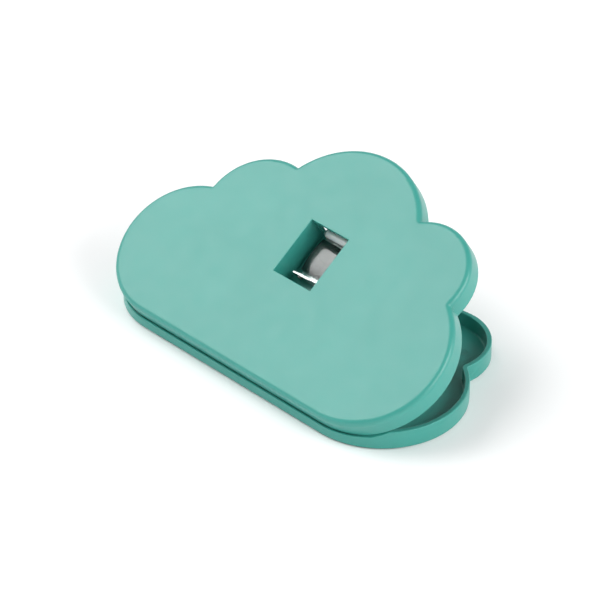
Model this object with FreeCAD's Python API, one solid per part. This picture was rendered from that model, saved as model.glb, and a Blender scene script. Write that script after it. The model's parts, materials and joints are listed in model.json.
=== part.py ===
import FreeCAD, Part
import math
import os

V = FreeCAD.Vector

# Millimetres. +Z up, X along the straight front edge, +Y from that edge towards the lobes.
# The origin is on the resting plane, below the middle of the tray's outline.
# Each piece of the lid is drawn as it sits when the lid is shut, then turned open about the hinge.

# How far a rib, boss or ear runs into its wall, and how far a cut runs past the face it leaves
ROOT = 0.5
CUT = 1.0

# Cloud outline: lobes from left to right as (x, distance behind the front edge, radius).
LOBES = [
    (-47.2, 27.3, 27.3),
    (-31.8, 52.7, 22.7),
    (1.2, 61.6, 32.9),
    (40.4, 62.5, 20.4),
    (43.1, 31.4, 31.4),
]
DEPTH = 94.5
FRONT = -DEPTH / 2
NOTCH_R = 0.8

# Case walls
WALL = 1.9
PAD_PROUD = 0.3
TRAY_FLOOR = 1.6
TRAY_H = 7.4
RIM_ROUND = 0.35
TRAY_EDGE = 0.7
PARTING_GAP = 0.15
OVERHANG = 0.4
LID_H = 8.5
LID_SKIN = 1.6
LID_ROUND = 2.0

TRAY_TOP = PAD_PROUD + TRAY_H
FLOOR_Z = PAD_PROUD + TRAY_FLOOR
LID_BOTTOM = TRAY_TOP + PARTING_GAP
LID_TOP = LID_BOTTOM + LID_H
LID_UNDER = LID_TOP - LID_SKIN

# Hinge, parallel to the front edge
OPEN_DEG = 32.0
HINGE_Y = FRONT + 9.4
HINGE_Z = 9.2
HINGE_XS = [-38.0, 38.0]
PIN_R = 1.0
PIN_RUNNING_GAP = 0.06
PIN_HEAD_R = 1.8
PIN_HEAD_T = 0.8
PIN_TAIL = 0.6
BARREL_R = 2.4
BASE_EAR_T = 2.4
LID_EAR_T = 3.0
EAR_GAP = 0.3
COIL_LEN = 3.6
COIL_R = 1.75
COIL_WHOLE_TURNS = 3
WIRE_R = 0.3
TRAY_LEG = 8.0
LID_LEG = 12.0
LEG_GAP = 0.1
STOP_GAP = 0.14
FRONT_LIP_T = 0.6
FRONT_LIP_H = 3.8
KNEE_H = 5.05
KNEE_Y = HINGE_Y - 3.0
LIP_END_Y = HINGE_Y + 1.2

# Well below the window in the lid
WIN_Y = FRONT + 49.1
WIN_W = 18.4
WIN_D = 23.4
WIN_EDGE = 0.25
WELL_WALL = 1.2
WELL_FLOOR_TOP = LID_TOP - 11.8
WELL_FLOOR = 1.2
WELL_SLOT_W = 15.2

# Tape bracket: a steel channel on the floor of the well
SHEET = 0.6
BRACKET_W = 12.6
CHEEK_IN = 6.5
BRACKET_Z = WELL_FLOOR_TOP
FLANGE_Y = WIN_Y - 6.88
FLANGE_TOP = LID_TOP - 7.0
CHEEK_H = 3.4
TAB_END = WIN_Y + 36.5
TAB_LEN = 6.0
ROLL_ROOM = 0.6
ROLL_SIDE_ROOM = 0.25

# Cutter blade on the near flange
BLADE_T = 0.45
BLADE_TOP = LID_TOP - 5.6
BLADE_H = 4.6
TOOTH_H = 0.45
TOOTH_COUNT = 14
RIVET_X = 4.0
RIVET_Z = LID_TOP - 8.6
RIVET_R = 0.6
RIVET_HEAD_R = 1.1
RIVET_HEAD_T = 0.35

# Crowned tape bridge
BRIDGE_W = 12.6
BRIDGE_R = 22.2
BRIDGE_CROWN_Y = WIN_Y + 3.2
BRIDGE_CROWN_Z = LID_TOP - 8.2
BRIDGE_NEAR_Y = WIN_Y - 4.06
BRIDGE_FAR_Y = WIN_Y + 9.6

# Roll, its axle and the guide roller
TAPE_W = 12.0
TAPE_T = 0.12
TAPE_GAP = 0.1
ROLL_Y = WIN_Y + 24.0
ROLL_Z = LID_TOP - 8.0
ROLL_R = 5.8
ROLL_CLEAR = 0.1
TAPE_PAST_BRIDGE = 0.5
CORE_R = 3.0
CORE_BORE_R = 1.58
AXLE_R = 1.5
AXLE_HEAD_R = 2.4
AXLE_HEAD_T = 0.8
AXLE_TAIL = 1.8
CLIP_T = 0.5
CLIP_R = 2.7
CLIP_GROOVE_R = 1.1
CLIP_MOUTH = 1.5
CLIP_SET_OUT = 0.3
GUIDE_Y = WIN_Y + 12.3
GUIDE_Z = LID_TOP - 9.35
GUIDE_R = 1.55
GUIDE_LEN = 12.4
GUIDE_BORE_R = 0.66
GUIDE_PIN_R = 0.6
GUIDE_EAR_R = 1.3
AXLE_EAR_R = 3.2
WASHER_T = 0.4
WASHER_R = 3.1
WASHER_BORE_R = 1.55

# Screws
SCREW_R = 1.0
SCREW_HEAD_R = 1.9
SCREW_HEAD_T = 1.1
SCREW_DRIVE = 0.5
SLOT_SHARE = 0.55
WELL_SCREW_Y = WIN_Y + 3.0
WELL_SCREW_REACH = 1.1
POST_R = 3.0
POST_Y = WIN_Y + 33.5
POST_SCREW_LEN = 6.0

# Magnet catch on the far lobe
CATCH_X = 13.2
CATCH_Y = FRONT + 84.0
CATCH_POST_R = 4.2
MAGNET_R = 3.0
MAGNET_T = 2.5
STRIKE_R = 3.2
STRIKE_T = 1.0
CATCH_GAP = 0.2

# Ballast plates on the tray's floor
BALLAST_X = 33.0
BALLAST_Y = FRONT + 35.0
BALLAST_W = 32.0
BALLAST_D = 30.0
BALLAST_T = 2.2
BALLAST_CORNER = 3.0
BALLAST_HOLE_R = 2.7
BALLAST_BOSS_R = 2.5
BALLAST_BOSS_H = 2.1
BALLAST_SCREW_DY = 9.0
BALLAST_HEAD_R = 3.4
BALLAST_SCREW_LEN = 2.6

# Non-slip pad under the tray, and the small locating ribs inside the right-hand lobe
PAD_INSET = 6.0
PAD_RECESS = 0.5
PAD_CLEAR = 0.15
RIB_ANGLES = [-52.0, -4.0]
RIB_T = 0.8
RIB_REACH = 1.2
RIB_H = 4.2


def box(x0, x1, y0, y1, z0, z1):
    return Part.makeBox(x1 - x0, y1 - y0, z1 - z0, V(x0, y0, z0))


def along_x(radius, x0, x1, y, z):
    return Part.makeCylinder(radius, x1 - x0, V(x0, y, z), V(1, 0, 0))


def along_y(radius, y0, y1, x, z):
    return Part.makeCylinder(radius, y1 - y0, V(x, y0, z), V(0, 1, 0))


def upright(radius, z0, z1, x, y):
    return Part.makeCylinder(radius, z1 - z0, V(x, y, z0), V(0, 0, 1))


def joined(shapes):
    whole = shapes[0]
    for shape in shapes[1:]:
        whole = whole.fuse(shape)
    return whole.removeSplitter()


def group(shapes):
    return Part.makeCompound(shapes)


def slab(points, x0, x1):
    """A flat outline given as (y, z) corners, made solid from x0 to x1."""
    corners = [V(x0, y, z) for y, z in points]
    face = Part.Face(Part.makePolygon(corners + corners[:1]))
    return face.extrude(V(x1 - x0, 0, 0))


def bent(edges, thickness, width):
    """A strip of sheet that follows edges in the YZ plane, centred on x = 0."""
    section = Part.Wire(edges).makeOffset2D(-thickness, 0, True, True)
    section.translate(V(-width / 2, 0, 0))
    return section.extrude(V(width, 0, 0))


def opened(shape):
    """Turns a lid piece from the shut position to the resting, open one."""
    turned = shape.copy()
    turned.rotate(V(0, HINGE_Y, HINGE_Z), V(1, 0, 0), OPEN_DEG)
    return turned


def notch_centre(a, b):
    """Centre of the small arc that rounds the notch between neighbouring lobes."""
    reach_a = a[2] + NOTCH_R
    reach_b = b[2] + NOTCH_R
    dx = b[0] - a[0]
    dy = b[1] - a[1]
    gap = math.hypot(dx, dy)
    along = (reach_a ** 2 - reach_b ** 2 + gap ** 2) / (2 * gap)
    aside = math.sqrt(reach_a ** 2 - along ** 2)
    x = a[0] + (along * dx - aside * dy) / gap
    y = a[1] + (along * dy + aside * dx) / gap
    return x, y


def arc(centre, radius, start, end, z):
    points = []
    for angle in (start, (start + end) / 2, end):
        x = centre[0] + radius * math.cos(angle)
        y = FRONT + centre[1] + radius * math.sin(angle)
        points.append(V(x, y, z))
    return Part.Arc(points[0], points[1], points[2]).toShape()


def cloud_wire(inset, z):
    """The cloud outline moved inwards by inset, at height z, clockwise from the left lobe's foot."""
    notches = [notch_centre(a, b) for a, b in zip(LOBES, LOBES[1:])]
    down = -math.pi / 2
    edges = []
    start = down
    for i, lobe in enumerate(LOBES):
        last = i == len(LOBES) - 1
        if last:
            end = down
        else:
            end = math.atan2(notches[i][1] - lobe[1], notches[i][0] - lobe[0])
        while end >= start:
            end -= 2 * math.pi
        edges.append(arc(lobe, lobe[2] - inset, start, end, z))
        if last:
            break
        after = LOBES[i + 1]
        leave = math.atan2(after[1] - notches[i][1], after[0] - notches[i][0])
        enter = math.atan2(lobe[1] - notches[i][1], lobe[0] - notches[i][0])
        while leave <= enter:
            leave += 2 * math.pi
        edges.append(arc(notches[i], NOTCH_R + inset, enter, leave, z))
        start = leave - math.pi
    foot_left = V(LOBES[0][0], FRONT + inset, z)
    foot_right = V(LOBES[-1][0], FRONT + inset, z)
    edges.append(Part.makeLine(foot_right, foot_left))
    return Part.Wire(edges)


def cloud(inset, z0, z1):
    return Part.Face(cloud_wire(inset, z0)).extrude(V(0, 0, z1 - z0))


def edges_at(shape, z):
    found = []
    for edge in shape.Edges:
        bounds = edge.BoundBox
        if abs(bounds.ZMin - z) < 1e-4 and abs(bounds.ZMax - z) < 1e-4:
            found.append(edge)
    return found


def station(x, first, last):
    """Limits along X of a hinge piece, given from the middle of its station."""
    return x + first, x + last


EAR_A = (-EAR_GAP / 2 - LID_EAR_T - EAR_GAP - BASE_EAR_T, -EAR_GAP / 2 - LID_EAR_T - EAR_GAP)
LID_EAR = (-EAR_GAP / 2 - LID_EAR_T, -EAR_GAP / 2)
COIL = (EAR_GAP / 2, EAR_GAP / 2 + COIL_LEN)
EAR_B = (EAR_GAP * 1.5 + COIL_LEN, EAR_GAP * 1.5 + COIL_LEN + BASE_EAR_T)


def tray_ears():
    ears = []
    for x in HINGE_XS:
        for first, last in (EAR_A, EAR_B):
            x0, x1 = station(x, first, last)
            post = box(x0, x1, HINGE_Y - BARREL_R, HINGE_Y + BARREL_R, FLOOR_Z - ROOT, HINGE_Z)
            ears.append(post.fuse(along_x(BARREL_R, x0, x1, HINGE_Y, HINGE_Z)))
    return ears


def ballast_bosses():
    bosses = []
    for x in (-BALLAST_X, BALLAST_X):
        for dy in (-BALLAST_SCREW_DY, BALLAST_SCREW_DY):
            top = FLOOR_Z + BALLAST_BOSS_H
            bosses.append(upright(BALLAST_BOSS_R, FLOOR_Z - ROOT, top, x, BALLAST_Y + dy))
    return bosses


def catch_places():
    middle = LOBES[2][0]
    return [(middle - CATCH_X, CATCH_Y), (middle + CATCH_X, CATCH_Y)]


def locating_ribs():
    x0, y0, radius = LOBES[-1]
    ribs = []
    for degrees in RIB_ANGLES:
        inner = radius - WALL
        rib = box(inner - RIB_REACH, inner + WALL / 2, -RIB_T / 2, RIB_T / 2, FLOOR_Z - ROOT, FLOOR_Z + RIB_H)
        rib.rotate(V(0, 0, 0), V(0, 0, 1), degrees)
        rib.translate(V(x0, FRONT + y0, 0))
        ribs.append(rib)
    return ribs


def low_front():
    """What lies above the front rim, which is low and climbs round the corners to full height."""
    lip = [(FRONT, PAD_PROUD + FRONT_LIP_H), (KNEE_Y, PAD_PROUD + KNEE_H), (LIP_END_Y, TRAY_TOP)]
    near = FRONT - CUT
    above = TRAY_TOP + CUT
    points = [(near, lip[0][1])] + lip + [(LIP_END_Y, above), (near, above)]
    return slab(points, -DEPTH, DEPTH)


def open_stop():
    """What lies above the open lid's lower edge, inside the thin lip that the front rim keeps."""
    slope = math.tan(math.radians(OPEN_DEG))
    at_hinge = HINGE_Z + (LID_BOTTOM - HINGE_Z) / math.cos(math.radians(OPEN_DEG)) - STOP_GAP
    near = FRONT - CUT
    above = TRAY_TOP + CUT
    far = HINGE_Y + (above - at_hinge) / slope
    points = [(near, at_hinge + (near - HINGE_Y) * slope), (far, above), (near, above)]
    return slab(points, -DEPTH, DEPTH).common(cloud(FRONT_LIP_T, 0.0, above))


def base_tray():
    shell = cloud(0.0, PAD_PROUD, TRAY_TOP)
    shell = shell.makeFillet(TRAY_EDGE, edges_at(shell, PAD_PROUD))
    hollow = cloud(WALL, FLOOR_Z, TRAY_TOP + CUT)
    shell = shell.cut(hollow)
    shell = shell.makeFillet(RIM_ROUND, edges_at(shell, TRAY_TOP))
    shell = shell.makeFillet(TRAY_EDGE, edges_at(shell, FLOOR_Z))
    shell = shell.cut(low_front()).cut(open_stop())
    posts = [upright(CATCH_POST_R, FLOOR_Z - ROOT, TRAY_TOP, x, y) for x, y in catch_places()]
    tray = joined([shell] + tray_ears() + ballast_bosses() + posts + locating_ribs())
    cuts = []
    for x in HINGE_XS:
        x0, x1 = station(x, EAR_A[0] - CUT, EAR_B[1] + CUT)
        cuts.append(along_x(PIN_R, x0, x1, HINGE_Y, HINGE_Z))
        for dy in (-BALLAST_SCREW_DY, BALLAST_SCREW_DY):
            side = math.copysign(BALLAST_X, x)
            boss_top = FLOOR_Z + BALLAST_BOSS_H
            cuts.append(upright(SCREW_R, boss_top - BALLAST_SCREW_LEN, boss_top + CUT, side, BALLAST_Y + dy))
    for x, y in catch_places():
        cuts.append(upright(MAGNET_R, TRAY_TOP - MAGNET_T, TRAY_TOP + CUT, x, y))
    cuts.append(cloud(PAD_INSET - PAD_CLEAR, 0.0, PAD_PROUD + PAD_RECESS))
    for cut in cuts:
        tray = tray.cut(cut)
    return tray


def lid_ears():
    ears = []
    for x in HINGE_XS:
        x0, x1 = station(x, LID_EAR[0], LID_EAR[1])
        web = box(x0, x1, HINGE_Y - BARREL_R, HINGE_Y + BARREL_R, HINGE_Z, LID_UNDER + ROOT)
        ears.append(web.fuse(along_x(BARREL_R, x0, x1, HINGE_Y, HINGE_Z)))
    return ears


def well():
    """The outside of the box that hangs below the window."""
    half = WIN_W / 2 + WELL_WALL
    near = WIN_Y - WIN_D / 2 - WELL_WALL
    far = WIN_Y + WIN_D / 2 + WELL_WALL
    return box(-half, half, near, far, WELL_FLOOR_TOP - WELL_FLOOR, LID_UNDER + ROOT)


def well_cuts():
    half = WIN_W / 2
    near = WIN_Y - WIN_D / 2
    far = WIN_Y + WIN_D / 2
    window = box(-half, half, near, far, WELL_FLOOR_TOP, LID_TOP + CUT)
    slot = box(-WELL_SLOT_W / 2, WELL_SLOT_W / 2, far - CUT, far + WELL_WALL + CUT, WELL_FLOOR_TOP, LID_UNDER)
    return [window, slot]


def window_edges(shell):
    found = []
    for edge in edges_at(shell, LID_TOP):
        middle = edge.CenterOfMass
        if abs(middle.x) <= WIN_W / 2 + 0.01 and abs(middle.y - WIN_Y) <= WIN_D / 2 + 0.01:
            found.append(edge)
    return found


def lid_shell():
    shell = cloud(-OVERHANG, LID_BOTTOM, LID_TOP)
    shell = shell.makeFillet(LID_ROUND, edges_at(shell, LID_TOP))
    shell = shell.cut(cloud(WALL - OVERHANG, LID_BOTTOM - CUT, LID_UNDER))
    shell = shell.makeFillet(RIM_ROUND, edges_at(shell, LID_BOTTOM))
    post = upright(POST_R, BRACKET_Z + SHEET, LID_UNDER + ROOT, 0.0, POST_Y)
    posts = [post]
    for x, y in catch_places():
        posts.append(upright(CATCH_POST_R, TRAY_TOP + CATCH_GAP, LID_UNDER + ROOT, x, y))
    lid = joined([shell, well()] + lid_ears() + posts)
    cuts = well_cuts()
    for x in HINGE_XS:
        x0, x1 = station(x, LID_EAR[0] - CUT, LID_EAR[1] + CUT)
        cuts.append(along_x(PIN_R + PIN_RUNNING_GAP, x0, x1, HINGE_Y, HINGE_Z))
    for x, y in catch_places():
        cuts.append(upright(STRIKE_R, TRAY_TOP, TRAY_TOP + CATCH_GAP + STRIKE_T, x, y))
    cuts.append(upright(SCREW_R, WELL_FLOOR_TOP - WELL_FLOOR - CUT, WELL_FLOOR_TOP + CUT, 0.0, WELL_SCREW_Y))
    post_foot = BRACKET_Z + SHEET
    cuts.append(upright(SCREW_R, post_foot - CUT, post_foot + POST_SCREW_LEN - SHEET, 0.0, POST_Y))
    for cut in cuts:
        lid = lid.cut(cut)
    return lid.makeFillet(WIN_EDGE, window_edges(lid))


def hinge_pins():
    pins = []
    for x in HINGE_XS:
        x0, x1 = station(x, EAR_A[0], EAR_B[1] + PIN_TAIL)
        shaft = along_x(PIN_R, x0, x1, HINGE_Y, HINGE_Z)
        head = along_x(PIN_HEAD_R, x0 - PIN_HEAD_T, x0, HINGE_Y, HINGE_Z)
        pins.append(shaft.fuse(head).removeSplitter())
    return group(pins)


def leg_slope(rise, length):
    return math.degrees(math.asin(rise / length))


def hinge_spring(x):
    """Torsion spring round the pin, with one leg on the tray's floor and one below the open lid."""
    tray_rise = HINGE_Z - COIL_R - FLOOR_Z - WIRE_R - LEG_GAP
    lid_rise = LID_UNDER - HINGE_Z - COIL_R - WIRE_R - LEG_GAP
    start = -90.0 - leg_slope(tray_rise, TRAY_LEG)
    end = 90.0 + OPEN_DEG + leg_slope(lid_rise, LID_LEG) - 360.0
    turns = COIL_WHOLE_TURNS + (start - end) / 360.0
    x0, x1 = station(x, COIL[0] + WIRE_R + LEG_GAP, COIL[1] - WIRE_R - LEG_GAP)
    coil = Part.makeHelix((x1 - x0) / turns, x1 - x0, COIL_R, 0.0, True)
    coil.rotate(V(0, 0, 0), V(1, 1, 1), 120.0)
    coil.rotate(V(0, 0, 0), V(1, 0, 0), start)
    coil.translate(V(x0, HINGE_Y, HINGE_Z))
    turn = coil.Edges[0]
    enter = turn.valueAt(turn.FirstParameter)
    leave = turn.valueAt(turn.LastParameter)
    inwards = turn.tangentAt(turn.FirstParameter)
    outwards = turn.tangentAt(turn.LastParameter)
    tray_tip = enter - inwards * TRAY_LEG
    lid_tip = leave + outwards * LID_LEG
    path = Part.Wire([Part.makeLine(tray_tip, enter), turn, Part.makeLine(leave, lid_tip)])
    section = Part.Wire(Part.makeCircle(WIRE_R, tray_tip, inwards))
    return path.makePipeShell([section], True, True)


def hinge_springs():
    return group([hinge_spring(x) for x in HINGE_XS])


def tooth_line(x0, x1):
    """The blade's outline in the XZ plane, with its teeth along the top."""
    step = (x1 - x0) / TOOTH_COUNT
    root = BLADE_TOP - TOOTH_H
    points = [(x0, BLADE_TOP - BLADE_H), (x0, root)]
    for i in range(TOOTH_COUNT):
        points.append((x0 + (i + 0.5) * step, BLADE_TOP))
        points.append((x0 + (i + 1) * step, root))
    points.append((x1, BLADE_TOP - BLADE_H))
    return points


def cutter_blade():
    y0 = FLANGE_Y - BLADE_T
    corners = [V(x, y0, z) for x, z in tooth_line(-BRACKET_W / 2, BRACKET_W / 2)]
    face = Part.Face(Part.makePolygon(corners + corners[:1]))
    blade = face.extrude(V(0, BLADE_T, 0))
    for x in (-RIVET_X, RIVET_X):
        blade = blade.cut(along_y(RIVET_R, y0 - CUT, FLANGE_Y + CUT, x, RIVET_Z))
    return blade


def cutter_rivets():
    rivets = []
    near = FLANGE_Y - BLADE_T
    far = FLANGE_Y + SHEET
    for x in (-RIVET_X, RIVET_X):
        shank = along_y(RIVET_R, near - RIVET_HEAD_T, far + RIVET_HEAD_T, x, RIVET_Z)
        front = along_y(RIVET_HEAD_R, near - RIVET_HEAD_T, near, x, RIVET_Z)
        back = along_y(RIVET_HEAD_R, far, far + RIVET_HEAD_T, x, RIVET_Z)
        rivets.append(shank.fuse([front, back]).removeSplitter())
    return group(rivets)


def bracket_cheek(x0, x1):
    """One side of the channel, with an ear for the guide pin and one for the axle."""
    low = BRACKET_Z
    near = GUIDE_Y - GUIDE_EAR_R
    top = BRACKET_Z + CHEEK_H
    rail = box(x0, x1, GUIDE_Y, TAB_END - TAB_LEN, low, top)
    guide_post = box(x0, x1, near, GUIDE_Y + GUIDE_EAR_R, low, GUIDE_Z)
    guide_ear = along_x(GUIDE_EAR_R, x0, x1, GUIDE_Y, GUIDE_Z)
    axle_post = box(x0, x1, ROLL_Y - AXLE_EAR_R, ROLL_Y + AXLE_EAR_R, low, ROLL_Z)
    axle_ear = along_x(AXLE_EAR_R, x0, x1, ROLL_Y, ROLL_Z)
    return joined([rail, guide_post, guide_ear, axle_post, axle_ear])


def tape_bracket():
    outer = CHEEK_IN + SHEET
    floor = box(-BRACKET_W / 2, BRACKET_W / 2, FLANGE_Y, TAB_END, BRACKET_Z, BRACKET_Z + SHEET)
    wide = box(-outer, outer, GUIDE_Y - GUIDE_EAR_R, TAB_END - TAB_LEN, BRACKET_Z, BRACKET_Z + SHEET)
    flange = box(-BRACKET_W / 2, BRACKET_W / 2, FLANGE_Y, FLANGE_Y + SHEET, BRACKET_Z, FLANGE_TOP)
    cheeks = [bracket_cheek(-outer, -CHEEK_IN), bracket_cheek(CHEEK_IN, outer)]
    bracket = joined([floor, wide, flange] + cheeks)
    half = TAPE_W / 2 + ROLL_SIDE_ROOM
    room = ROLL_R + ROLL_ROOM
    cuts = [box(-half, half, ROLL_Y - room, ROLL_Y + room, BRACKET_Z - CUT, BRACKET_Z + SHEET + CUT)]
    cuts.append(along_x(AXLE_R, -outer - CUT, outer + CUT, ROLL_Y, ROLL_Z))
    cuts.append(along_x(GUIDE_PIN_R, -outer - CUT, outer + CUT, GUIDE_Y, GUIDE_Z))
    for y in (WELL_SCREW_Y, POST_Y):
        cuts.append(upright(SCREW_R, BRACKET_Z - CUT, BRACKET_Z + SHEET + CUT, 0.0, y))
    for x in (-RIVET_X, RIVET_X):
        cuts.append(along_y(RIVET_R, FLANGE_Y - CUT, FLANGE_Y + SHEET + CUT, x, RIVET_Z))
    for cut in cuts:
        bracket = bracket.cut(cut)
    return bracket


def crown_z(y):
    """Height of the bridge's upper face."""
    return BRIDGE_CROWN_Z - BRIDGE_R + math.sqrt(BRIDGE_R ** 2 - (y - BRIDGE_CROWN_Y) ** 2)


def crown_arc(y0, y1, lift):
    centre_z = BRIDGE_CROWN_Z - BRIDGE_R
    points = []
    start = math.atan2(crown_z(y0) - centre_z, y0 - BRIDGE_CROWN_Y)
    end = math.atan2(crown_z(y1) - centre_z, y1 - BRIDGE_CROWN_Y)
    for angle in (start, (start + end) / 2, end):
        y = BRIDGE_CROWN_Y + (BRIDGE_R + lift) * math.cos(angle)
        z = centre_z + (BRIDGE_R + lift) * math.sin(angle)
        points.append(V(0, y, z))
    return points


def tape_bridge():
    """Crowned strip with a leg turned down at each end."""
    upper = crown_arc(BRIDGE_NEAR_Y, BRIDGE_FAR_Y, 0.0)
    lower = crown_arc(BRIDGE_NEAR_Y, BRIDGE_FAR_Y, -SHEET)
    foot = BRACKET_Z + SHEET
    near_out = V(0, upper[0].y, foot)
    near_in = V(0, upper[0].y + SHEET, foot)
    near_top = V(0, upper[0].y + SHEET, crown_z(upper[0].y) - SHEET)
    far_out = V(0, upper[2].y, foot)
    far_in = V(0, upper[2].y - SHEET, foot)
    far_top = V(0, upper[2].y - SHEET, crown_z(upper[2].y) - SHEET)
    edges = [
        Part.Arc(upper[0], upper[1], upper[2]).toShape(),
        Part.makeLine(upper[2], far_out),
        Part.makeLine(far_out, far_in),
        Part.makeLine(far_in, far_top),
        Part.Arc(far_top, lower[1], near_top).toShape(),
        Part.makeLine(near_top, near_in),
        Part.makeLine(near_in, near_out),
        Part.makeLine(near_out, upper[0]),
    ]
    face = Part.Face(Part.Wire(edges))
    face.translate(V(-BRIDGE_W / 2, 0, 0))
    return face.extrude(V(BRIDGE_W, 0, 0))


def on_circle(y, z, radius, angle):
    return V(0, y + radius * math.cos(angle), z + radius * math.sin(angle))


def tape_end():
    """The tape off the top of the roll, under the guide roller and over the bridge to its cut end."""
    under = GUIDE_R + TAPE_GAP + TAPE_T
    over = ROLL_R + ROLL_CLEAR
    run = math.atan2(GUIDE_Z - ROLL_Z, GUIDE_Y - ROLL_Y)
    spread = math.hypot(GUIDE_Z - ROLL_Z, GUIDE_Y - ROLL_Y)
    normal = run - math.acos((over + under) / spread)
    off_roll = on_circle(ROLL_Y, ROLL_Z, over, normal)
    onto_guide = on_circle(GUIDE_Y, GUIDE_Z, under, normal + math.pi)
    crown = crown_arc(BRIDGE_NEAR_Y, BRIDGE_FAR_Y, TAPE_GAP)
    corner = crown[2]
    reach = math.hypot(GUIDE_Y - corner.y, GUIDE_Z - corner.z)
    fall = math.atan2(GUIDE_Z - corner.z, GUIDE_Y - corner.y) - math.asin(under / reach)
    off_guide = on_circle(GUIDE_Y, GUIDE_Z, under, fall - math.pi / 2)
    lowest = on_circle(GUIDE_Y, GUIDE_Z, under, (fall + normal + math.pi / 2) / 2)
    radial = crown[0] - V(0, BRIDGE_CROWN_Y, BRIDGE_CROWN_Z - BRIDGE_R)
    cut_end = crown[0] + V(0, -radial.z, radial.y) * (TAPE_PAST_BRIDGE / radial.Length)
    edges = [
        Part.makeLine(cut_end, crown[0]),
        Part.Arc(crown[0], crown[1], crown[2]).toShape(),
        Part.makeLine(corner, off_guide),
        Part.Arc(off_guide, lowest, onto_guide).toShape(),
        Part.makeLine(onto_guide, off_roll),
    ]
    return bent(edges, TAPE_T, TAPE_W)


def roll_axle():
    outer = CHEEK_IN + SHEET
    groove = outer + CLIP_SET_OUT
    parts = [
        along_x(AXLE_HEAD_R, -outer - AXLE_HEAD_T, -outer, ROLL_Y, ROLL_Z),
        along_x(AXLE_R, -outer, groove, ROLL_Y, ROLL_Z),
        along_x(CLIP_GROOVE_R, groove, groove + CLIP_T, ROLL_Y, ROLL_Z),
        along_x(AXLE_R, groove + CLIP_T, outer + AXLE_TAIL, ROLL_Y, ROLL_Z),
    ]
    return joined(parts)


def axle_clip():
    x0 = CHEEK_IN + SHEET + CLIP_SET_OUT
    x1 = x0 + CLIP_T
    ring = along_x(CLIP_R, x0, x1, ROLL_Y, ROLL_Z)
    ring = ring.cut(along_x(CLIP_GROOVE_R, x0 - CUT, x1 + CUT, ROLL_Y, ROLL_Z))
    half = CLIP_MOUTH / 2
    mouth = box(x0 - CUT, x1 + CUT, ROLL_Y - half, ROLL_Y + half, ROLL_Z - CLIP_R - CUT, ROLL_Z)
    return ring.cut(mouth)


def drag_washers():
    """Felt washers beside the roll that keep it from running on."""
    washers = []
    for x0 in (-CHEEK_IN, CHEEK_IN - WASHER_T):
        ring = along_x(WASHER_R, x0, x0 + WASHER_T, ROLL_Y, ROLL_Z)
        washers.append(ring.cut(along_x(WASHER_BORE_R, x0 - CUT, x0 + CUT, ROLL_Y, ROLL_Z)))
    return group(washers)


def tape_core():
    half = TAPE_W / 2
    ring = along_x(CORE_R, -half, half, ROLL_Y, ROLL_Z)
    return ring.cut(along_x(CORE_BORE_R, -half - CUT, half + CUT, ROLL_Y, ROLL_Z))


def tape_roll():
    half = TAPE_W / 2
    ring = along_x(ROLL_R, -half, half, ROLL_Y, ROLL_Z)
    return ring.cut(along_x(CORE_R, -half - CUT, half + CUT, ROLL_Y, ROLL_Z))


def guide_roller():
    half = GUIDE_LEN / 2
    tube = along_x(GUIDE_R, -half, half, GUIDE_Y, GUIDE_Z)
    return tube.cut(along_x(GUIDE_BORE_R, -half - CUT, half + CUT, GUIDE_Y, GUIDE_Z))


def guide_pin():
    outer = CHEEK_IN + SHEET
    return along_x(GUIDE_PIN_R, -outer, outer, GUIDE_Y, GUIDE_Z)


def screw(x, y, seat, length, head_r, side):
    """Pan-head screw with its head over its seat (side 1) or under it (side -1)."""
    tip = seat - side * length
    top = seat + side * SCREW_HEAD_T
    slot_end = top - side * SCREW_DRIVE
    shank = upright(SCREW_R, min(tip, seat), max(tip, seat), x, y)
    head = upright(head_r, min(seat, top), max(seat, top), x, y)
    made = shank.fuse(head).removeSplitter()
    reach = head_r * SLOT_SHARE
    half = SCREW_DRIVE / 2
    for angle in (0.0, 90.0):
        slot = box(x - reach, x + reach, y - half, y + half, min(slot_end, top), max(slot_end, top))
        slot.rotate(V(x, y, top), V(0, 0, 1), angle)
        made = made.cut(slot)
    return made


def bracket_screws():
    well_under = WELL_FLOOR_TOP - WELL_FLOOR
    short = screw(0.0, WELL_SCREW_Y, well_under, WELL_FLOOR + WELL_SCREW_REACH, SCREW_HEAD_R, -1)
    long = screw(0.0, POST_Y, BRACKET_Z, POST_SCREW_LEN, SCREW_HEAD_R, -1)
    return group([short, long])


def ballast_plates():
    plates = []
    for x in (-BALLAST_X, BALLAST_X):
        x0, x1 = x - BALLAST_W / 2, x + BALLAST_W / 2
        y0, y1 = BALLAST_Y - BALLAST_D / 2, BALLAST_Y + BALLAST_D / 2
        plate = box(x0, x1, y0, y1, FLOOR_Z, FLOOR_Z + BALLAST_T)
        upright_edges = [e for e in plate.Edges if e.BoundBox.ZLength > BALLAST_T / 2]
        plate = plate.makeFillet(BALLAST_CORNER, upright_edges)
        for dy in (-BALLAST_SCREW_DY, BALLAST_SCREW_DY):
            plate = plate.cut(upright(BALLAST_HOLE_R, 0.0, LID_TOP, x, BALLAST_Y + dy))
        plates.append(plate)
    return group(plates)


def ballast_screws():
    seat = FLOOR_Z + BALLAST_T
    length = BALLAST_T - BALLAST_BOSS_H + BALLAST_SCREW_LEN
    screws = []
    for x in (-BALLAST_X, BALLAST_X):
        for dy in (-BALLAST_SCREW_DY, BALLAST_SCREW_DY):
            screws.append(screw(x, BALLAST_Y + dy, seat, length, BALLAST_HEAD_R, 1))
    return group(screws)


def non_slip_pad():
    return cloud(PAD_INSET, 0.0, PAD_PROUD + PAD_RECESS)


def catch_magnets():
    discs = []
    for x, y in catch_places():
        discs.append(upright(MAGNET_R, TRAY_TOP - MAGNET_T, TRAY_TOP, x, y))
    return group(discs)


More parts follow.
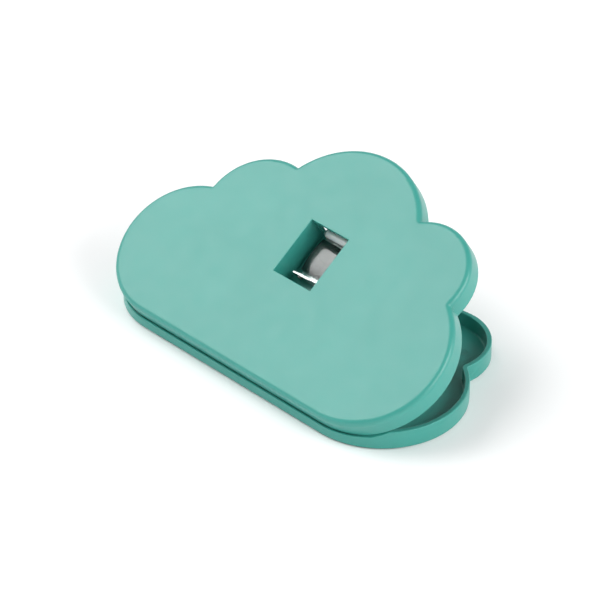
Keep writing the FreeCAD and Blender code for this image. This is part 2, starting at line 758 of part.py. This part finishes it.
def strike_discs():
    discs = []
    for x, y in catch_places():
        low = TRAY_TOP + CATCH_GAP
        discs.append(upright(STRIKE_R, low, low + STRIKE_T, x, y))
    return group(discs)


LID_PIECES = {
    "lid_shell": lid_shell,
    "tape_bracket": tape_bracket,
    "tape_bridge": tape_bridge,
    "cutter_blade": cutter_blade,
    "cutter_rivets": cutter_rivets,
    "bracket_screws": bracket_screws,
    "roll_axle": roll_axle,
    "axle_clip": axle_clip,
    "drag_washers": drag_washers,
    "tape_core": tape_core,
    "tape_roll": tape_roll,
    "tape_end": tape_end,
    "guide_roller": guide_roller,
    "guide_pin": guide_pin,
    "strike_discs": strike_discs,
}
TRAY_PIECES = {
    "base_tray": base_tray,
    "hinge_pins": hinge_pins,
    "ballast_plates": ballast_plates,
    "ballast_screws": ballast_screws,
    "hinge_springs": hinge_springs,
    "non_slip_pad": non_slip_pad,
    "catch_magnets": catch_magnets,
}


def save(name, shape):
    if not shape.isValid():
        raise ValueError(name + " is not a valid shape")
    print(name, len(shape.Solids), "solid(s),", round(shape.Volume, 2), "mm3")
    shape.exportStep(os.path.join("parts", name + ".step"))


os.makedirs("parts", exist_ok=True)
for name, make in LID_PIECES.items():
    save(name, opened(make()))
for name, make in TRAY_PIECES.items():
    save(name, make())
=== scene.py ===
import json
import math

import bmesh
import bpy
from mathutils import Matrix, Vector


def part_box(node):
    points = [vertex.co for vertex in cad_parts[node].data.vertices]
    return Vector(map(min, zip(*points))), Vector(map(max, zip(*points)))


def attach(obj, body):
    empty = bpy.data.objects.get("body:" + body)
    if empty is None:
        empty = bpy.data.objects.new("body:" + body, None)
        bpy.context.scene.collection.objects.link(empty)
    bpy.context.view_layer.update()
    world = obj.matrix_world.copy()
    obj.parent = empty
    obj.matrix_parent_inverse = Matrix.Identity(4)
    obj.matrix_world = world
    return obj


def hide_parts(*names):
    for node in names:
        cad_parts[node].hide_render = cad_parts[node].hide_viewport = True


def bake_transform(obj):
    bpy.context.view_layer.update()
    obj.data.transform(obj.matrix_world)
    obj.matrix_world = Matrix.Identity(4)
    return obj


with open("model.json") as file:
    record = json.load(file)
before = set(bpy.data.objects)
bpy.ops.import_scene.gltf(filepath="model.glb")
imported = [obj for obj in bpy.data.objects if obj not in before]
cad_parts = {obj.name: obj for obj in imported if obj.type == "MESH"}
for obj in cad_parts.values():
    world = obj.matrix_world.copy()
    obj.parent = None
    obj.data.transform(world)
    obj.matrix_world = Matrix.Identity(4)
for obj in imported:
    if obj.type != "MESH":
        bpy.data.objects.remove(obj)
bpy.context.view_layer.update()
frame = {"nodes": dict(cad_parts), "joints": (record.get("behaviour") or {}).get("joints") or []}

# Lengths are in metres. The lid's own pieces are worked out as they sit with the lid shut,
# then turned open about the hinge.
MM = 0.001
X_AXIS = Vector((1, 0, 0))
nodes = frame["nodes"]
joints = {joint["name"]: joint for joint in frame["joints"]}
hinge = Vector(joints["lid_hinge"]["pos_m"])
open_angle = -math.radians(joints["lid_hinge"]["range_deg"][0])
roll_centre = Vector(joints["roll_spin"]["pos_m"])
OPENING = Matrix.Translation(hinge) @ Matrix.Rotation(open_angle, 4, "X") @ Matrix.Translation(-hinge)
SHUTTING = OPENING.inverted()


def shut_top(node):
    """Height of a lid node's highest point with the lid shut."""
    return max((SHUTTING @ v.co).z for v in nodes[node].data.vertices)


# ---------------------------------------------------------------- materials


class Shader:
    """A Principled shader with short calls for the nodes around it."""

    def __init__(self, name):
        self.material = bpy.data.materials.new(name)
        self.material.use_nodes = True
        self.tree = self.material.node_tree
        self.surface = self.tree.nodes["Principled BSDF"]
        self.place = self.node("ShaderNodeTexCoord").outputs["Object"]

    def node(self, kind, **values):
        made = self.tree.nodes.new(kind)
        for key, value in values.items():
            if hasattr(made, key):
                setattr(made, key, value)
            else:
                made.inputs[key].default_value = value
        return made

    def link(self, source, target):
        self.tree.links.new(source, target)

    def put(self, **values):
        for key, value in values.items():
            self.surface.inputs[key.replace("_", " ")].default_value = value
        return self

    def stretched(self, scale):
        mapping = self.node("ShaderNodeMapping")
        mapping.inputs["Scale"].default_value = scale
        self.link(self.place, mapping.inputs["Vector"])
        return mapping.outputs["Vector"]

    def noise(self, scale, detail=3.0, roughness=0.5, stretch=None):
        made = self.node("ShaderNodeTexNoise", Scale=scale, Detail=detail, Roughness=roughness)
        self.link(self.stretched(stretch) if stretch else self.place, made.inputs["Vector"])
        return made.outputs["Fac"]

    def along(self, axis, start, end):
        """0 to 1 from start to end along one of the object's own axes."""
        split = self.node("ShaderNodeSeparateXYZ")
        self.link(self.place, split.inputs["Vector"])
        made = self.node("ShaderNodeMapRange")
        made.inputs["From Min"].default_value = start
        made.inputs["From Max"].default_value = end
        self.link(split.outputs[axis], made.inputs["Value"])
        return made.outputs["Result"]

    def ramp(self, source, stops, low=0.0, high=1.0):
        """A colour ramp whose first and last stops sit at low and high."""
        made = self.node("ShaderNodeValToRGB")
        elements = made.color_ramp.elements
        while len(elements) < len(stops):
            elements.new(0.5)
        for i, stop in enumerate(stops):
            elements[i].position = low + (high - low) * i / (len(stops) - 1)
            elements[i].color = (*stop, 1.0)
        self.link(source, made.inputs["Fac"])
        return made.outputs["Color"]

    def colour(self, source, stops, low=0.3, high=0.7):
        self.link(self.ramp(source, stops, low, high), self.surface.inputs["Base Color"])
        return self

    def roughness(self, source, least, most, low=0.3, high=0.7):
        stops = [(least,) * 3, (most,) * 3]
        self.link(self.ramp(source, stops, low, high), self.surface.inputs["Roughness"])
        return self

    def bump(self, *layers):
        """Bump layers, each as (source, strength, depth in metres)."""
        normal = None
        for source, strength, depth in layers:
            made = self.node("ShaderNodeBump", Strength=strength, Distance=depth)
            self.link(source, made.inputs["Height"])
            if normal is not None:
                self.link(normal, made.inputs["Normal"])
            normal = made.outputs["Normal"]
        self.link(normal, self.surface.inputs["Normal"])
        return self


def around(colour, spread):
    """Two stops a little darker and a little lighter than a colour."""
    return [tuple(c * (1 - spread) for c in colour), tuple(min(c * (1 + spread), 1.0) for c in colour)]


MINT = (0.042, 0.305, 0.258)


def mint_plastic(name):
    s = Shader(name)
    s.colour(s.noise(28.0, 2.0), around(MINT, 0.03))
    s.roughness(s.noise(160.0, 4.0), 0.33, 0.41)
    s.put(IOR=1.5, Coat_Weight=0.12, Coat_Roughness=0.16)
    s.put(Subsurface_Weight=0.3, Subsurface_Scale=0.0016, Subsurface_Radius=(0.5, 1.0, 0.85))
    return s.bump((s.noise(2600.0, 2.0), 0.10, 0.00002), (s.noise(60.0, 1.0), 0.10, 0.0001)).material


def brushed(name, colour, along, rough=0.28, scratches=900.0, bump=0.12):
    """Rolled or ground metal, with its grain along one axis."""
    s = Shader(name)
    stretch = [1.0, 1.0, 1.0]
    stretch["XYZ".index(along)] = 0.03
    grain = s.noise(scratches, 4.0, 0.7, stretch)
    s.colour(grain, around(colour, 0.10))
    s.roughness(s.noise(120.0, 3.0), rough * 0.8, rough * 1.3)
    s.put(Metallic=1.0)
    return s.bump((grain, bump, 0.00002), (s.noise(90.0, 1.0), 0.08, 0.0001)).material


def bridge_sheet(name):
    """Dark rolled steel, darker at the near end as painted shade, grey in the middle as a painted
    reflection of the window opening above it, and greenish at the far end as a painted reflection of
    the mint well walls.
    """
    s = Shader(name)
    low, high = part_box("tape_bridge")
    grain = s.noise(700.0, 4.0, 0.7, (0.15, 1.0, 1.0))
    # Colour stops from the near end to the far end: painted shade, then a grey painted reflection of
    # the window opening, then a greenish painted reflection of the mint walls.
    painted_shade_and_reflection_stops = [(0.008,) * 3, (0.035,) * 3, (0.042, 0.041, 0.040), (0.020, 0.024, 0.022)]
    s.colour(s.along("Y", low.y, high.y), painted_shade_and_reflection_stops, 0.0, 1.0)
    s.roughness(s.noise(160.0, 3.0), 0.2, 0.3)
    s.put(Metallic=0.9)
    return s.bump((grain, 0.3, 0.00003)).material


def felt(name, colour):
    s = Shader(name)
    s.colour(s.noise(1400.0, 5.0, 0.8), around(colour, 0.35), 0.25, 0.75)
    s.put(Roughness=0.95, Sheen_Weight=0.4, Sheen_Roughness=0.5)
    return s.bump((s.noise(2200.0, 5.0, 0.8), 0.9, 0.0001)).material


def rubber(name, colour):
    s = Shader(name)
    s.colour(s.noise(240.0, 4.0, 0.7), around(colour, 0.25))
    s.roughness(s.noise(900.0, 3.0), 0.72, 0.9)
    return s.bump((s.noise(1800.0, 5.0, 0.8), 0.5, 0.00005)).material


def blackened(name, colour):
    """Oil-blackened plate with its mottle and a few bright rubs."""
    s = Shader(name)
    dark = tuple(c * 0.7 for c in colour)
    rubbed = tuple(c * 1.8 for c in colour)
    s.colour(s.noise(110.0, 6.0, 0.65), [dark, colour, rubbed])
    s.roughness(s.noise(260.0, 4.0), 0.42, 0.66)
    s.put(Metallic=0.85)
    return s.bump((s.noise(700.0, 4.0), 0.3, 0.00004)).material


def wound_tape(name):
    """Many turns of clear film, with an amber depth and faint waves along the tape."""
    s = Shader(name)
    s.colour(s.noise(2600.0, 3.0, 0.6, (1.0, 1.0, 1.0)), around((0.78, 0.75, 0.60), 0.08))
    s.put(Roughness=0.14, IOR=1.47, Transmission_Weight=0.25)
    s.put(Subsurface_Weight=0.35, Subsurface_Scale=0.001, Coat_Weight=0.3, Coat_Roughness=0.05)
    return s.bump((s.noise(500.0, 2.0, 0.5, (0.1, 1.0, 1.0)), 0.12, 0.00003)).material


def clear_film(name):
    s = Shader(name)
    s.colour(s.noise(200.0, 2.0), around((0.90, 0.96, 0.94), 0.03))
    s.put(Roughness=0.12, IOR=1.47, Transmission_Weight=1.0)
    return s.bump((s.noise(420.0, 3.0, 0.6, (1.0, 0.5, 1.0)), 0.35, 0.00015)).material


def acetal(name, colour):
    s = Shader(name)
    s.colour(s.noise(90.0, 3.0), around(colour, 0.03))
    s.roughness(s.noise(500.0, 3.0), 0.2, 0.3)
    s.put(Subsurface_Weight=0.1, Subsurface_Scale=0.0006, Coat_Weight=0.2, Coat_Roughness=0.1)
    return s.bump((s.noise(900.0, 3.0, 0.5, (0.05, 1.0, 1.0)), 0.08, 0.00002)).material


STEEL = (0.62, 0.64, 0.64)
FINISHES = {
    "lid_shell": mint_plastic("lid_mint"),
    "base_tray": mint_plastic("tray_mint"),
    "tape_bracket": brushed("zinc_sheet", STEEL, "Y"),
    "tape_bridge": bridge_sheet("bridge_sheet"),
    "cutter_blade": brushed("blade_ground", (0.40, 0.41, 0.41), "Z", 0.18, 1500.0),
    "cutter_rivets": brushed("rivet_grey", (0.30, 0.31, 0.31), "X", 0.3),
    "bracket_screws": brushed("screw_zinc", (0.55, 0.56, 0.58), "X", 0.35),
    "roll_axle": brushed("axle_turned", STEEL, "X", 0.24),
    "axle_clip": brushed("clip_black", (0.12, 0.12, 0.13), "Y", 0.4),
    "drag_washers": felt("washer_felt", (0.42, 0.42, 0.40)),
    "tape_core": acetal("core_white", (0.74, 0.73, 0.69)),
    "tape_roll": wound_tape("tape_turns"),
    "tape_end": clear_film("tape_film"),
    "guide_roller": acetal("roller_white", (0.93, 0.95, 0.94)),
    "guide_pin": brushed("pin_drawn", STEEL, "X", 0.25),
    "strike_discs": brushed("strike_zinc", (0.55, 0.56, 0.57), "Y", 0.34),
    "hinge_pins": brushed("hinge_pin_drawn", STEEL, "X", 0.25),
    "hinge_springs": brushed("spring_wire", (0.50, 0.51, 0.52), "X", 0.25, 1800.0),
    "ballast_plates": blackened("ballast_black", (0.045, 0.046, 0.050)),
    "ballast_screws": brushed("ballast_screw_zinc", (0.55, 0.56, 0.58), "X", 0.35),
    "non_slip_pad": rubber("pad_foam", (0.030, 0.031, 0.033)),
    "catch_magnets": brushed("magnet_nickel", (0.68, 0.67, 0.65), "Y", 0.2),
}
SMOOTH_WITHIN = math.radians(32)


def finish_nodes():
    for name, material in FINISHES.items():
        node = nodes[name]
        for part_slot in node.material_slots:
            part_slot.material = material


# ---------------------------------------------------------------- pieces


def make_object(name, mesh, material):
    made = bpy.data.objects.new(name, mesh)
    bpy.context.scene.collection.objects.link(made)
    mesh.materials.clear()
    mesh.materials.append(material)
    return made


def mesh_from(name, fill):
    """A mesh whose geometry fill(bmesh) makes, with its faces turned outwards."""
    made = bmesh.new()
    fill(made)
    bmesh.ops.recalc_face_normals(made, faces=made.faces)
    mesh = bpy.data.meshes.new(name)
    made.to_mesh(mesh)
    made.free()
    return mesh


def add_piece(name, mesh, material, body):
    piece = make_object(name, mesh, material)
    piece.data.shade_smooth()
    piece.data.set_sharp_from_angle(angle=SMOOTH_WITHIN)
    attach(piece, body)
    return piece


def spring_wires():
    """The torsion springs, which sit between the tray and the lid; the wire is a still copy of the
    part's mesh and does not wind up as the lid moves.
    """
    mesh = nodes["hinge_springs"].data.copy()
    piece = make_object("hinge_spring_wires", mesh, FINISHES["hinge_springs"])
    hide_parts("hinge_springs")
    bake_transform(piece)


TAPE_LAYER = 0.14 * MM
LAYER_WANDER = 0.05 * MM
TAPE_THICK = 0.12 * MM
ROLL_SEGMENTS = 120


def layer_edge(i):
    """How far a turn of tape stands back from the roll's side face."""
    return LAYER_WANDER * (0.5 + 0.5 * math.sin(i * 2.4) * math.cos(i * 0.9))


def wound_turns():
    """The wound tape: turns of uneven edges on both sides, and the lap where its last turn starts."""
    low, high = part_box("tape_roll")
    core_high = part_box("tape_core")[1]
    outer = high.z - roll_centre.z
    inner = core_high.z - roll_centre.z
    count = int((outer - inner) / TAPE_LAYER)
    profile = []
    for side, edge in ((-1, low.x), (1, high.x)):
        stair = []
        for i in range(count):
            x = edge - side * layer_edge(i + (side > 0) * count)
            stair.append((x, inner + (outer - inner) * i / count))
            stair.append((x, inner + (outer - inner) * (i + 1) / count))
        profile += stair if side < 0 else reversed(stair)

    def fill(made):
        rings = []
        for k in range(ROLL_SEGMENTS):
            turn = Matrix.Rotation(2 * math.pi * k / ROLL_SEGMENTS, 3, "X")
            lap = TAPE_THICK * k / ROLL_SEGMENTS
            ring = []
            for x, radius in profile:
                spread = lap * (radius - inner) / (outer - inner)
                ring.append(made.verts.new(roll_centre + turn @ Vector((x, 0, radius - spread))))
            rings.append(ring)
        for k in range(ROLL_SEGMENTS):
            here, after = rings[k], rings[(k + 1) % ROLL_SEGMENTS]
            for i in range(len(profile)):
                j = (i + 1) % len(profile)
                made.faces.new((here[i], here[j], after[j], after[i]))

    mesh = mesh_from("wound_turns", fill)
    piece = add_piece("wound_turns", mesh, FINISHES["tape_roll"], "roll")
    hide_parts("tape_roll")


CUT_TEETH = 14
CUT_DEPTH = 0.45 * MM


def torn_edge():
    """The row of small points that the cutter left on the tape's end."""
    edge = [SHUTTING @ v.co for v in nodes["tape_end"].data.vertices]
    near = min(p.y for p in edge)
    left = min(p.x for p in edge)
    right = max(p.x for p in edge)
    ends = sorted({(round(p.y, 7), round(p.z, 7)) for p in edge if p.y < near + TAPE_THICK})
    upper = Vector((0, *max(ends, key=lambda e: e[1])))
    lower = Vector((0, *min(ends, key=lambda e: e[1])))
    across = (upper - lower).normalized()
    onward = Vector((0, -across.z, across.y))
    step = (right - left) / CUT_TEETH

    def fill(made):
        for i in range(CUT_TEETH):
            x = left + i * step
            rows = []
            for base in (lower, upper):
                corners = [base + X_AXIS * x, base + X_AXIS * (x + step)]
                tip = base + X_AXIS * (x + step / 2) + onward * CUT_DEPTH
                rows.append([made.verts.new(OPENING @ p) for p in (corners[0], corners[1], tip)])
            under, over = rows
            made.faces.new(under)
            made.faces.new(over)
            for k in range(3):
                j = (k + 1) % 3
                made.faces.new((under[k], under[j], over[j], over[k]))

    mesh = mesh_from("torn_edge", fill)
    add_piece("torn_tape_edge", mesh, FINISHES["tape_end"], "lid")


PIN_MARK_R = 1.9 * MM
PIN_MARK_RIM = 0.12 * MM
PIN_MARK_PROUD = 0.05 * MM
PIN_MARK_SEGMENTS = 40
# Places of the marks in plan, in mm.
TRAY_MARKS = [
    (-52, -8), (-10, -30), (14, -30), (56, -2), (0, 2), (-30, 12), (0, 26), (38, 12), (48, 22),
]
LID_MARKS = [
    (-54, -18), (-20, -34), (20, -34), (56, -18), (-30, 4), (30, 4), (-34, 18), (42, 18),
    (-14, 26), (18, 26),
]
LID_SKIN = 1.6 * MM


def pin_marks(name, places, height, side, body, placing):
    """Round witness marks of a mould's ejector pins: a shallow disc with a fine rim."""
    crest = PIN_MARK_R - PIN_MARK_RIM
    rings = [(PIN_MARK_R, 0.0), (crest, 1.0), (crest - PIN_MARK_RIM, 0.35)]

    def fill(made):
        for px, py in places:
            circles = []
            for radius, share in rings:
                z = height + side * PIN_MARK_PROUD * share
                circle = []
                for k in range(PIN_MARK_SEGMENTS):
                    angle = 2 * math.pi * k / PIN_MARK_SEGMENTS
                    x = px * MM + radius * math.cos(angle)
                    y = py * MM + radius * math.sin(angle)
                    circle.append(made.verts.new(placing @ Vector((x, y, z))))
                circles.append(circle)
            for outer, inner in zip(circles, circles[1:]):
                for k in range(PIN_MARK_SEGMENTS):
                    j = (k + 1) % PIN_MARK_SEGMENTS
                    made.faces.new((outer[k], outer[j], inner[j], inner[k]))
            made.faces.new(circles[-1])
            made.faces.new(list(reversed(circles[0])))

    material = FINISHES["lid_shell" if body == "lid" else "base_tray"]
    add_piece(name, mesh_from(name, fill), material, body)


def mould_marks():
    floor_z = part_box("ballast_plates")[0].z
    pin_marks("tray_pin_marks", TRAY_MARKS, floor_z, 1, "base", Matrix.Identity(4))
    skin_z = shut_top("lid_shell") - LID_SKIN
    pin_marks("lid_pin_marks", LID_MARKS, skin_z, -1, "lid", OPENING)


# ---------------------------------------------------------------- stage


def pale_floor():
    s = Shader("pale_floor")
    s.colour(s.noise(3.0, 2.0), around((0.93, 0.935, 0.935), 0.01))
    s.put(Roughness=0.7)
    return s.bump((s.noise(40.0, 2.0), 0.02, 0.0005)).material


FLOOR_REACH = 3.0


def floor():
    reach = FLOOR_REACH
    mesh = bpy.data.meshes.new("floor")
    corners = [(-reach, -reach, 0), (reach, -reach, 0), (reach, reach, 0), (-reach, reach, 0)]
    mesh.from_pydata(corners, [], [(0, 1, 2, 3)])
    make_object("floor", mesh, pale_floor())


def softbox(name, place, target, size, power):
    light = bpy.data.lights.new(name, "AREA")
    light.shape = "RECTANGLE"
    light.size, light.size_y = size
    light.energy = power
    made = bpy.data.objects.new(name, light)
    made.location = place
    made.rotation_mode = "QUATERNION"
    made.rotation_quaternion = (Vector(target) - Vector(place)).to_track_quat("-Z", "Y")
    bpy.context.scene.collection.objects.link(made)


SKY_DIM = 0.30
SKY_TOP = 0.5


def sky(world):
    """A bright horizon like a white sweep, a dimmer ceiling, brighter again at the zenith."""
    world.use_nodes = True
    tree = world.node_tree
    background = tree.nodes["Background"]
    place = tree.nodes.new("ShaderNodeTexCoord")
    split = tree.nodes.new("ShaderNodeSeparateXYZ")
    ramp = tree.nodes.new("ShaderNodeValToRGB")
    elements = ramp.color_ramp.elements
    stops = [(0.0, 1.05), (0.2, 1.0), (0.4, SKY_DIM), (0.75, SKY_DIM), (1.0, SKY_TOP)]
    while len(elements) < len(stops):
        elements.new(0.5)
    for element, (height, level) in zip(elements, stops):
        element.position = height
        element.color = (level, level, level * 1.01, 1.0)
    tree.links.new(place.outputs["Generated"], split.inputs["Vector"])
    tree.links.new(split.outputs["Z"], ramp.inputs["Fac"])
    tree.links.new(ramp.outputs["Color"], background.inputs["Color"])


KEY_FROM = Vector((-0.57, -0.27, 0.78))
KEY_FAR = 1.2
KEY_SIZE = (1.0, 0.92)
KEY_POWER = 12.0
RIGHT_FROM = Vector((0.84, 0.16, 0.54))
RIGHT_FAR = 1.1
RIGHT_SIZE = (1.0, 0.45)
RIGHT_POWER = 9.5
MIDDLE = Vector((0.0, 0.0, 0.02))


def studio():
    world = bpy.data.worlds.new("studio")
    sky(world)
    bpy.context.scene.world = world
    softbox("key", MIDDLE + KEY_FROM * KEY_FAR, MIDDLE, KEY_SIZE, KEY_POWER)
    softbox("right", MIDDLE + RIGHT_FROM * RIGHT_FAR, MIDDLE, RIGHT_SIZE, RIGHT_POWER)


CAMERA_PLACE = (0.7188, -0.7455, 0.7591)
CAMERA_AIM = (-0.5683, 0.5787, -0.5850)
CAMERA_LENS_MM = 210.0
CAMERA_SENSOR_MM = 36.0


def camera():
    data = bpy.data.cameras.new("camera")
    data.lens = CAMERA_LENS_MM
    data.sensor_width = CAMERA_SENSOR_MM
    made = bpy.data.objects.new("camera", data)
    made.location = CAMERA_PLACE
    made.rotation_mode = "QUATERNION"
    made.rotation_quaternion = Vector(CAMERA_AIM).to_track_quat("-Z", "Y")
    bpy.context.scene.collection.objects.link(made)
    bpy.context.scene.camera = made


finish_nodes()
spring_wires()
wound_turns()
torn_edge()
mould_marks()
floor()
studio()
camera()
bpy.context.scene.view_settings.view_transform = "Standard"
